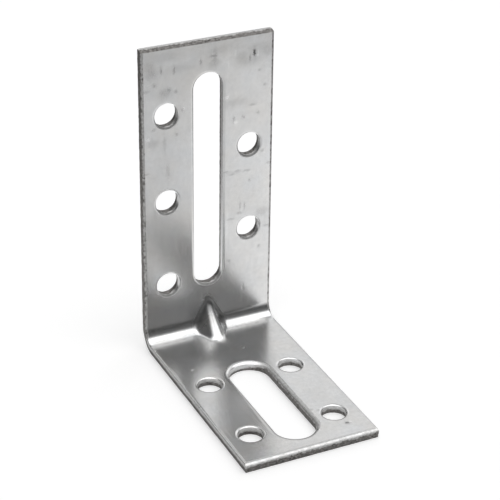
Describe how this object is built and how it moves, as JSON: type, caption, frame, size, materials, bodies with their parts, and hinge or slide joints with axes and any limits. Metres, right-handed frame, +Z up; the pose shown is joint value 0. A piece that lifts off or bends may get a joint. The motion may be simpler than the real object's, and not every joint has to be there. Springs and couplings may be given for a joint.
{
  "type": "reinforced angle bracket",
  "caption": "Right-angle bracket folded from one strip of zinc-coated steel sheet, with a pressed rib in the fold, a slot in each arm and screw holes beside the slots.",
  "frame": {"origin": "middle of the bracket's footprint, on the surface that the lower arm lies on", "axes": "+X across the width, +Y from the free end of the lower arm to the back of the upright arm, +Z up along the upright arm"},
  "size_m": [0.03, 0.053, 0.07],
  "materials": {
    "zinc_coated_steel": "bright rolled zinc coating, half glossy, with fine rolling lines, small dark pits and shiny rolled rims"
  },
  "bodies": {
    "root": {"angle_bracket": "zinc_coated_steel"}
  },
  "joints": []
}
